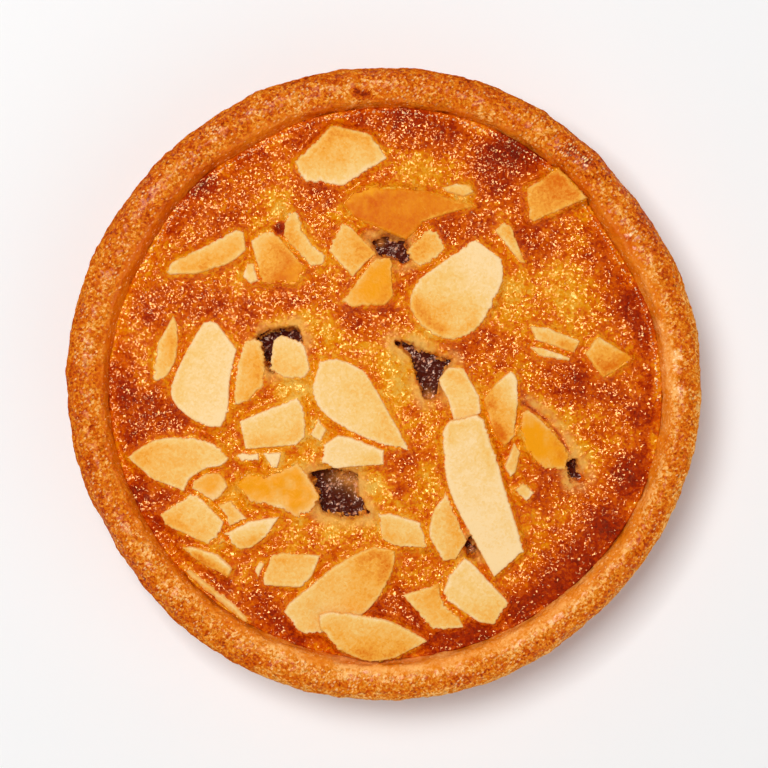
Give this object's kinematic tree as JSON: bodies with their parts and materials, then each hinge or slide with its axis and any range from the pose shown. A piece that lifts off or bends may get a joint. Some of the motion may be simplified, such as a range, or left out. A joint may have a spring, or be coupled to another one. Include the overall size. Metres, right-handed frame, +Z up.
{
  "type": "almond tart",
  "caption": "Round almond tart: plain shortcrust case with a rounded rim, risen almond cream split open over dark fruit filling, and flaked almonds baked on top.",
  "frame": {"origin": "on the table under the middle of the tart", "axes": "+Z up through the filling, +Y towards the top of the picture, +X towards its right"},
  "size_m": [0.0999, 0.0996, 0.0225],
  "materials": {
    "pastry": "baked shortcrust, dry and grainy",
    "fruit": "dark cooked fruit, wet",
    "cream": "baked almond cream, browned and sugary",
    "almond": "flaked almond, lightly toasted"
  },
  "bodies": {
    "root": {"pastry_case": "pastry", "fruit_filling": "fruit", "almond_cream": "cream", "flake_01": "almond", "flake_02": "almond", "flake_03": "almond", "flake_04": "almond", "flake_05": "almond", "flake_06": "almond", "flake_07": "almond", "flake_08": "almond", "flake_09": "almond", "flake_10": "almond", "flake_11": "almond", "flake_12": "almond", "flake_13": "almond", "flake_14": "almond", "flake_15": "almond", "flake_16": "almond", "flake_17": "almond", "flake_18": "almond", "flake_19": "almond", "flake_20": "almond", "flake_21": "almond", "flake_22": "almond", "flake_23": "almond", "flake_24": "almond", "flake_25": "almond", "flake_26": "almond", "flake_27": "almond", "flake_28": "almond", "flake_29": "almond", "flake_30": "almond", "flake_31": "almond", "flake_32": "almond", "flake_33": "almond", "flake_34": "almond", "flake_35": "almond", "flake_36": "almond", "flake_37": "almond", "flake_38": "almond", "flake_39": "almond", "flake_40": "almond", "flake_41": "almond", "flake_42": "almond", "flake_43": "almond", "flake_44": "almond", "flake_45": "almond", "flake_46": "almond", "flake_47": "almond", "flake_48": "almond", "flake_49": "almond"}
  },
  "joints": []
}
